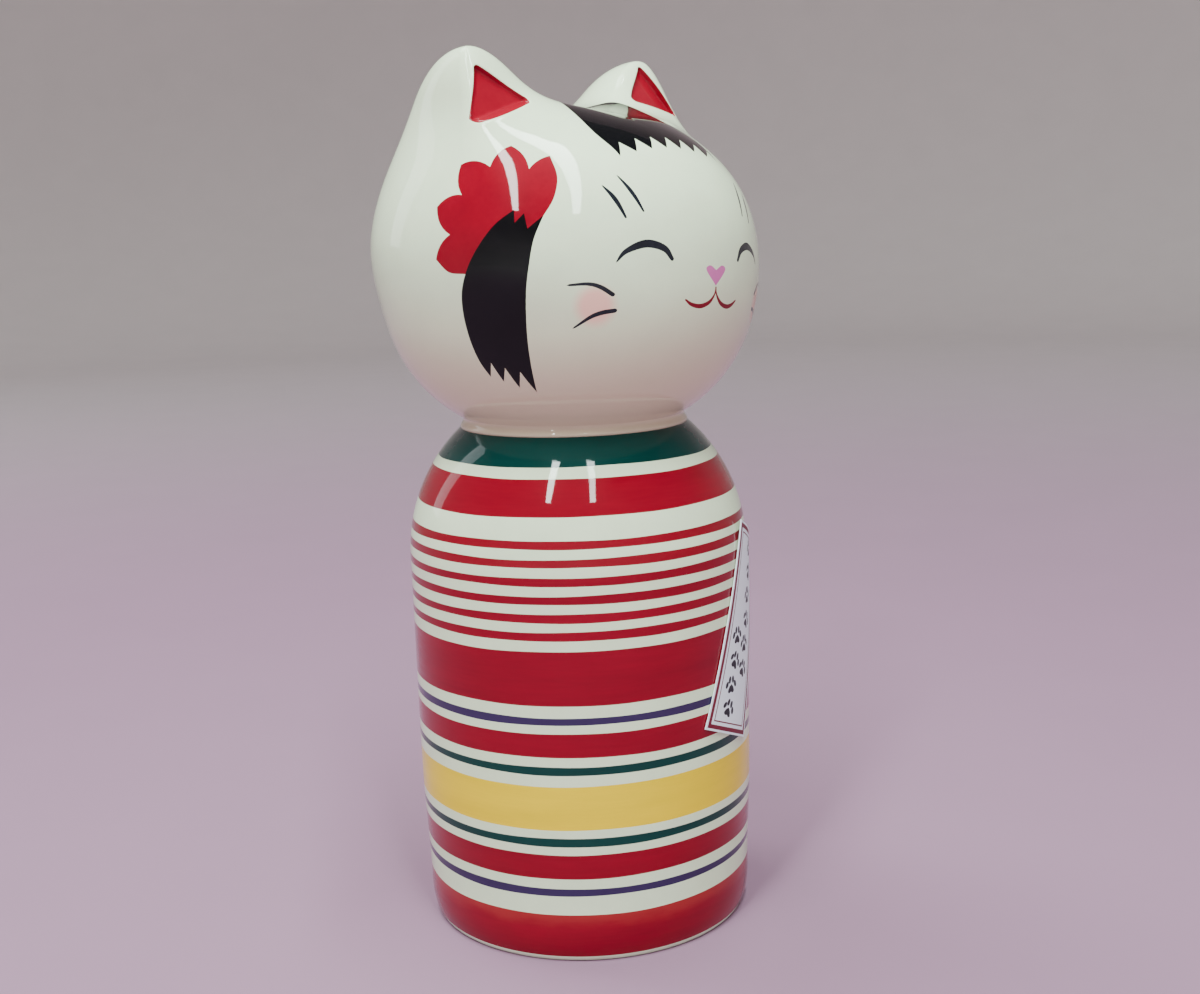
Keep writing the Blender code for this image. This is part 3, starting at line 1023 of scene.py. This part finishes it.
def frame_outline(inset):
    """The card's outline moved in by `inset`."""
    half_width, half_length = 0.5 * TAG_WIDTH - inset, 0.5 * TAG_LENGTH - inset
    return [(x * half_width, y * half_length) for x, y in ((-1, -1), (1, -1), (1, 1), (-1, 1))]


def placed(shape, lean, size, centre):
    """A shape turned anticlockwise by `lean`, scaled, and moved to a centre."""
    spin = np.array([[math.cos(lean), math.sin(lean)], [-math.sin(lean), math.cos(lean)]])
    return [tuple(point) for point in np.array(shape) @ spin * size + np.array(centre)]


def paw(centre, lean, size):
    """A paw print: a three-lobed pad and four toes."""
    pad = smooth([(0.0, 0.75), (-0.75, 0.25), (-1.15, -0.55), (-0.6, -0.85), (0.0, -0.65),
                  (0.6, -0.85), (1.15, -0.55), (0.75, 0.25), (0.0, 0.75)])[:-1]
    turns = 0.1 * math.pi * np.arange(20)
    toe = np.stack([0.44 * np.cos(turns), 0.70 * np.sin(turns)], axis=1)
    toes = ((-1.5, 0.75, 0.5), (-0.58, 1.6, 0.15), (0.58, 1.6, -0.15), (1.5, 0.75, -0.5))
    shapes = [pad] + [placed(toe, -tilt, 1.0, (x, y)) for x, y, tilt in toes]
    return [placed(shape, lean, size, centre) for shape in shapes]


def make_tag(paints):
    """The card: a red border, a fine red line inside it, and paw prints in two columns."""
    drawn = [(paint, frame_outline(inset)) for paint, inset in TAG_FRAMES]
    for index, (across, along) in enumerate(TAG_PAWS):
        lean = -TAG_PAW_LEAN if index % 2 else TAG_PAW_LEAN
        drawn += [("ink", outline) for outline in paw((across, along), lean, TAG_PAW_SIZE)]
    edge = evenly(frame_outline(0.0), 1.0)
    columns, rows = [np.arange(TAG_GRAIN - 0.5 * size, 0.5 * size, TAG_GRAIN)
                     for size in (TAG_WIDTH, TAG_LENGTH)]
    grain = np.array([(x, y, 0.4 * TAG_GRAIN) for x in columns for y in rows])
    shapes = [np.array(evenly(outline, 0.8)) for _, outline in drawn]
    points, triangles, owners, (rim,) = imprint(np.array(edge), shapes, [], grain)
    inner, outer = BODY_RADIUS + TAG_GAP, BODY_RADIUS + TAG_GAP + TAG_THICKNESS
    vertices = [on_wall(x, y, radius) for radius in (outer, inner) for x, y in points]
    back = [index + len(points) for index in rim]
    faces = [*triangles, *(triangles[:, ::-1] + len(points)), *strip(rim, back)]
    painted = [drawn[owner][0] if owner >= 0 else "card" for owner in owners]
    painted += ["card"] * (len(triangles) + len(rim))
    tag = build("tag", vertices, faces, paints, painted)
    tag.data.set_sharp_from_angle(angle=math.radians(50.0))
    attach(tag, "doll")
    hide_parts("paper_tag")


# ---- the stopper

def make_stopper(vinyl):
    """A soft plug: a dished flange with a grip ring below, and a hollow above."""
    low, high = STOPPER_LOW.z, STOPPER_HIGH.z
    flange = STOPPER_HIGH.x
    flange_top = low + 2.0
    plug = STOPPER_HOLE_RADIUS - 0.3
    dish = ((1.2, 0.55), (2.0, 0.35), (9.0, 0.35), (9.6, 0.05), (11.4, 0.05), (12.0, 0.35),
            (flange - 1.6, 0.3), (flange - 0.9, 0.0))
    profile = [(radius, low + rise) for radius, rise in dish]
    for turn in np.linspace(-0.5 * math.pi, 0.5 * math.pi, 9):
        profile.append((flange - 0.7 + 0.7 * math.cos(turn), low + 1.0 + math.sin(turn)))
    profile += [(plug + 0.3, flange_top), (plug, flange_top + 0.3), (plug, flange_top + 5.0),
                (plug - 0.35, flange_top + 6.2), (plug - 0.7, high - 0.4), (plug - 1.1, high)]
    profile += [(10.4, high), (10.0, high - 0.4), (10.0, flange_top + 0.9), (9.5, flange_top + 0.4)]
    vertices, rings = lathe(profile, STOPPER_SEGMENTS)
    faces = [tuple(reversed(rings[0])), tuple(rings[-1])]
    for below, above in zip(rings, rings[1:]):
        faces += strip(above, below)
    stopper = build("stopper", vertices, faces, {"vinyl": vinyl})
    stopper.data.set_sharp_from_angle(angle=math.radians(40.0))
    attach(stopper, "stopper")
    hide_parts("base_stopper")


# ---- studio

def place_camera():
    """A camera about 0.4 m from the doll, level with its head and looking slightly down."""
    camera = bpy.data.cameras.new("camera")
    camera.lens = CAMERA_LENS
    camera.sensor_width = 36.0
    camera.clip_start = 0.01
    made = in_scene("camera", camera)
    turn = math.radians(VIEW_TURN)
    place = Vector((-math.sin(turn), -math.cos(turn), 0.0)) * CAMERA_DISTANCE
    place.z = CAMERA_HEIGHT
    aim = (Matrix.Rotation(-math.radians(VIEW_TURN + CAMERA_YAW), 4, "Z")
           @ Matrix.Rotation(math.radians(90.0 - CAMERA_PITCH), 4, "X")
           @ Matrix.Rotation(math.radians(CAMERA_ROLL), 4, "Z"))
    made.matrix_world = Matrix.Translation(place * MM) @ aim
    bpy.context.scene.camera = made


def area_light(name, place, target, size, power, colour):
    """A rectangular light, placed and aimed in the view's own axes."""
    lamp = bpy.data.lights.new(name, "AREA")
    lamp.shape = "RECTANGLE"
    lamp.size, lamp.size_y = size
    lamp.energy = power
    lamp.color = colour
    made = in_scene(name, lamp)
    turn = Matrix.Rotation(-math.radians(VIEW_TURN), 3, "Z")
    place, target = turn @ Vector(place), turn @ Vector(target)
    made.location = place
    made.rotation_euler = (target - place).to_track_quat("-Z", "Y").to_euler()
    return made


def light_studio():
    """Two long tubes overhead, a broad lamp beyond the doll and a faint one from the left."""
    world = bpy.data.worlds.new("studio")
    bpy.context.scene.world = world
    world.use_nodes = True
    background = world.node_tree.nodes["Background"]
    background.inputs["Color"].default_value = WORLD_COLOUR
    background.inputs["Strength"].default_value = WORLD_STRENGTH
    for side, near, far in TUBES:
        near, far = Vector(near), Vector(far)
        middle = (near + far) * 0.5
        lamp = area_light("tube_" + side, (*middle, TUBE_HEIGHT), (*middle, 0.0),
                          (TUBE_WIDTH, (far - near).length), TUBE_POWER, TUBE_COLOUR)
        lean = math.atan2(far.x - near.x, near.y - far.y)
        lamp.rotation_euler = (0.0, 0.0, lean - math.radians(VIEW_TURN))
    for lamp in LAMPS:
        area_light(*lamp)


def lay_floor():
    """A plain pale studio floor that sweeps up into a round wall."""
    profile = [(0.2, 0.0), (1.0, 0.0), (FLOOR_RADIUS, 0.0)]
    for turn in np.radians(np.linspace(7.5, 90.0, 12)):
        profile.append((FLOOR_RADIUS + FLOOR_SWEEP * math.sin(turn),
                        FLOOR_SWEEP - FLOOR_SWEEP * math.cos(turn)))
    profile.append((FLOOR_RADIUS + FLOOR_SWEEP, WALL_TOP))
    vertices, rings = lathe([(radius / MM, z / MM) for radius, z in profile], FLOOR_SEGMENTS)
    faces = [tuple(rings[0])]
    for inner, outer in zip(rings, rings[1:]):
        faces += strip(inner, outer)
    shader = Shader("studio_floor")
    cloud = shader.noise(60.0)
    pale = shader.remap(shader.distance((0.0, 0.0, 0.0)), *FLOOR_FADE, 0.0, 1.0, smooth=True)
    paint = shader.mix(pale, STUDIO_FLOOR, STUDIO_WALL)
    shade = shader.remap(cloud, 0.0, 1.0, 0.97, 1.03)
    shader.set(Base_Color=shader.scaled(paint, shade), Roughness=0.85)
    build("floor", vertices, faces, {"floor": shader.material})


# ---- paints

def face_glaze(shader, paint):
    """Paints shade into the glaze, darker and warmer towards the chin, and lays a soft pink over
    both cheeks.
    """
    fade = [HEAD_CENTRE.z + rise for rise in CHIN_SHADE_FADE]
    # Painted shade: the glaze turns darker and warmer towards the chin.
    chin_shade = shader.remap(shader.height(), *fade, 0.0, CHIN_SHADE_STRENGTH, smooth=True)
    paint = shader.mix(chin_shade, paint, SHADED_IVORY)
    for side in (-1.0, LEFT_SIDE_SHARE):
        cheek = on_head(front([(side * CHEEK[0], CHEEK[1])]))[0] + np.array(HEAD_CENTRE)
        share = shader.remap(shader.distance(cheek), *CHEEK_FADE, 0.95, 0.0, smooth=True)
        paint = shader.mix(share, paint, BLUSH)
    return paint


def thinning(shader, paint):
    """Thins the lowest stripe's paint to a lighter red towards its upper edge."""
    stray = shader.noise(5.0, scale=(0.5, 0.5, 1.5))
    height = shader.math("ADD", shader.height(), shader.remap(stray, 0.3, 0.7, -0.9, 0.9))
    return shader.mix(shader.remap(height, *THINNING, 0.0, 1.0, smooth=True), paint, THIN_CRIMSON)


def matte(name, colour, uneven, roughness, grain, depth):
    """A bare, unglazed surface with fine grain."""
    shader = Shader(name)
    cloud = shader.noise(7.0, 5.0)
    fine = shader.noise(grain)
    shader.set(
        Base_Color=shader.mottled(cloud, colour, uneven),
        Roughness=roughness,
        Specular_IOR_Level=0.4,
    )
    shader.bump(fine, depth)
    return shader.material


def main():
    """Makes the paints, the doll's four pieces and the studio."""
    paints = {
        "ivory": glaze("ivory", IVORY, 0.03),
        "bisque": matte("bare_bisque", BISQUE, 0.06, 0.8, 0.5, 0.05),
    }
    make_head({
        **paints,
        # The head's ivory carries painted shade towards the chin.
        "ivory": glaze("head_ivory", IVORY, 0.03, extra=face_glaze),
        "hair": glaze("hair_black", HAIR_BLACK, 0.25),
        "flower": glaze("flower_red", FLOWER_RED, 0.10),
        "ear": glaze("ear_red", EAR_RED, 0.12),
        "ink": glaze("ink", INK, 0.25),
        "mouth": glaze("mouth_red", MOUTH_RED, 0.15),
        "nose": glaze("nose_pink", NOSE_PINK, 0.06),
    })
    make_body({
        **paints,
        "crimson": glaze("crimson", CRIMSON, 0.12, BRUSHED),
        "soft_crimson": glaze("thinned_crimson", CRIMSON, 0.12, BRUSHED, thinning),
        "green": glaze("green", GREEN, 0.14, BRUSHED),
        "yellow": glaze("yellow", YELLOW, 0.06, BRUSHED),
        "purple": glaze("purple", PURPLE, 0.12, BRUSHED),
    })
    make_tag({
        "card": matte("tag_white_card", CARD, 0.01, 0.55, 0.35, 0.01),
        "border": matte("tag_border_red", BORDER_RED, 0.05, 0.5, 0.35, 0.01),
        "line": matte("tag_line_red", BORDER_RED, 0.08, 0.5, 0.35, 0.01),
        "ink": matte("tag_ink", INK, 0.25, 0.5, 0.35, 0.01),
    })
    make_stopper(matte("soft_vinyl", VINYL, 0.02, 0.42, 0.8, 0.02))
    place_camera()
    light_studio()
    lay_floor()


main()
